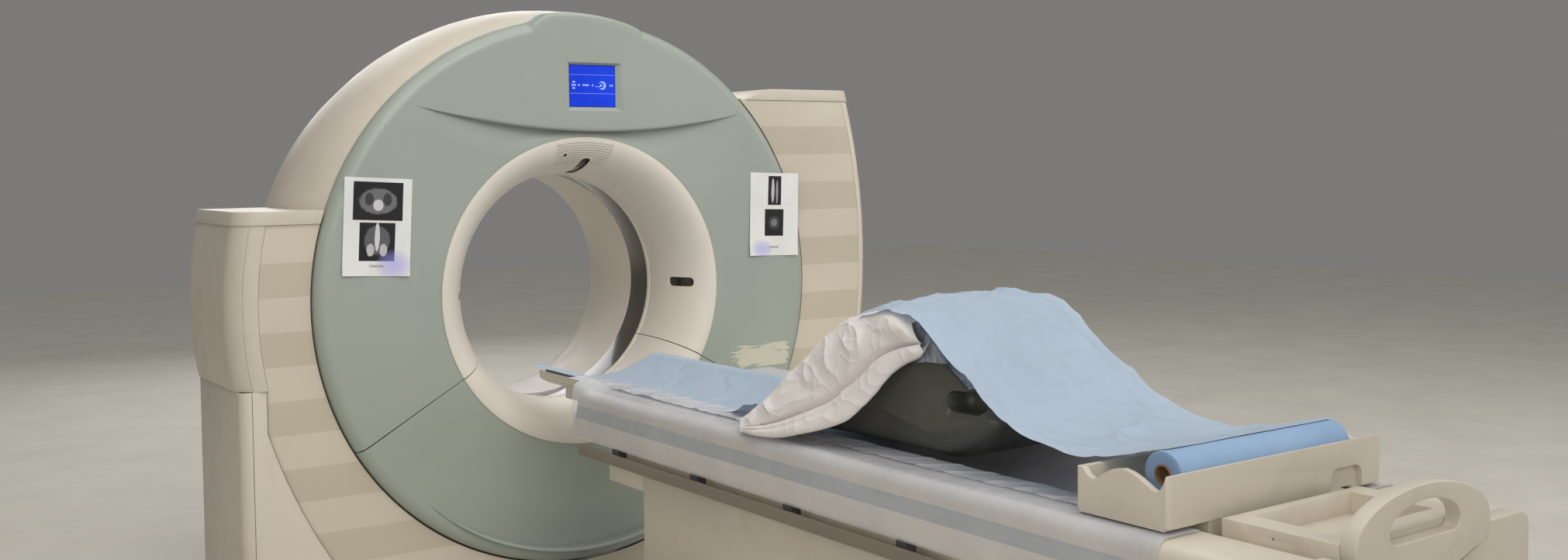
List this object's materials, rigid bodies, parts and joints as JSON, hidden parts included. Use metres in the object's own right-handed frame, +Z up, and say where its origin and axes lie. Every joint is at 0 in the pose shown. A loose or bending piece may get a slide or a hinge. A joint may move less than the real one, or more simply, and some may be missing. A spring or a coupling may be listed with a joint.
{
  "type": "ct scanner",
  "caption": "Whole-body x-ray ring scanner: round tilting housing with a wide bore between two towers, and a lifting patient table with a sliding padded top.",
  "frame": {"origin": "on the floor, straight under the middle of the bore in the scan plane, on the underside of the stand's floor plate", "axes": "+Y along the bore, from the table into the ring; +Z up; +X to the right as seen from the table"},
  "size_m": [2.345, 3.805, 1.966],
  "materials": {
    "sage_cover": "moulded, satin, pale grey-green",
    "cream_cover": "moulded, fine satin texture, warm off-white",
    "striped_panel": "painted in two close beige tones in level bands",
    "funnel_white": "moulded, satin, slightly warm white",
    "frame_steel": "grey structural paint",
    "bare_steel": "brushed, slightly dulled",
    "dark_housing": "dark grey powder coat",
    "window_film": "dark glossy band in the bore",
    "screen_glass": "lit blue display panel",
    "dark_insert": "dark see-through insert",
    "keypad_film": "printed membrane in plain fields",
    "notice_paper": "sheet of paper with plain grey blocks",
    "contact_brass": "ring tracks",
    "band_grey": "blue-grey recessed band",
    "clear_film": "thin translucent polythene, wrinkled",
    "mattress_vinyl": "dark grey coated fabric over foam",
    "bolster_vinyl": "dark grey-green coated fabric over foam",
    "examination_paper": "pale blue creased paper",
    "roll_paper": "wound blue paper",
    "brown_card": "wound card",
    "white_linen": "white cotton, folded"
  },
  "bodies": {
    "stand": {"base_frame": "frame_steel", "yoke_left": "frame_steel", "yoke_right": "frame_steel", "tilt_drive": "dark_housing", "tilt_bearing": "bare_steel", "front_plate_left": "striped_panel", "front_plate_right": "striped_panel", "corner_panels": "cream_cover", "side_cover_left": "cream_cover", "side_cover_right": "cream_cover", "side_skirts": "cream_cover", "tower_caps": "cream_cover", "rear_panels": "cream_cover", "table_base": "frame_steel", "base_cover": "cream_cover", "column_outer": "bare_steel", "floor_duct": "dark_housing"},
    "tilting_gantry": {"drum_frame": "frame_steel", "front_cover_upper": "sage_cover", "front_cover_lower": "sage_cover", "funnel_upper": "funnel_white", "funnel_lower": "funnel_white", "scan_window": "window_film", "rear_funnel": "funnel_white", "rear_cover": "cream_cover", "shell_left": "cream_cover", "shell_right": "cream_cover", "display_screen": "screen_glass", "speaker_grille": "funnel_white", "laser_windows": "dark_insert", "control_panels": "keypad_film", "notice_sheets": "notice_paper"},
    "rotor": {"rotor_ring": "frame_steel", "xray_tube": "dark_housing", "collimator": "bare_steel", "detector_arc": "dark_housing", "generator": "frame_steel", "tube_cooler": "bare_steel", "slip_ring": "contact_brass"},
    "couch": {"couch_body": "cream_cover", "couch_bands": "band_grey", "under_frame": "dark_housing", "accessory_rails": "bare_steel", "rail_clips": "dark_housing", "foot_end_cover": "cream_cover", "column_inner": "bare_steel", "upper_skirt": "cream_cover", "cover_film": "clear_film"},
    "mid_stage": {"column_mid": "bare_steel", "mid_skirt": "cream_cover"},
    "cradle": {"cradle_shell": "cream_cover", "mattress": "mattress_vinyl", "foot_tray": "cream_cover", "push_handle": "cream_cover", "roll_holder": "cream_cover", "paper_sheet": "examination_paper", "leg_bolster": "bolster_vinyl", "white_cloth": "white_linen"},
    "roll": {"roll_core": "brown_card", "paper_roll": "roll_paper"}
  },
  "joints": [
    {"name": "gantry_tilt", "type": "hinge", "parent": "stand", "child": "tilting_gantry", "pos_m": [0, 0, 1.02], "axis": [-1, 0, 0], "range_deg": [-30, 15], "deforming": ["notice_sheets"]},
    {"name": "rotor_spin", "type": "hinge", "parent": "tilting_gantry", "child": "rotor", "pos_m": [0, 0, 1.02], "axis": [0, 1, 0], "continuous": true},
    {"name": "table_lift", "type": "slide", "parent": "stand", "child": "couch", "axis": [0, 0, 1], "range_m": [-0.3, 0.1]},
    {"name": "mid_lift", "type": "slide", "parent": "stand", "child": "mid_stage", "axis": [0, 0, 1], "range_m": [-0.15, 0.05]},
    {"name": "top_slide", "type": "slide", "parent": "couch", "child": "cradle", "axis": [0, 1, 0], "range_m": [0, 1.5]},
    {"name": "roll_turn", "type": "hinge", "parent": "cradle", "child": "roll", "pos_m": [-0.017, -2.9555, 0.887], "axis": [1, 0, 0], "continuous": true}
  ],
  "couplings": [
    {"joint": "mid_lift", "follows": "table_lift", "ratio": 0.5}
  ]
}
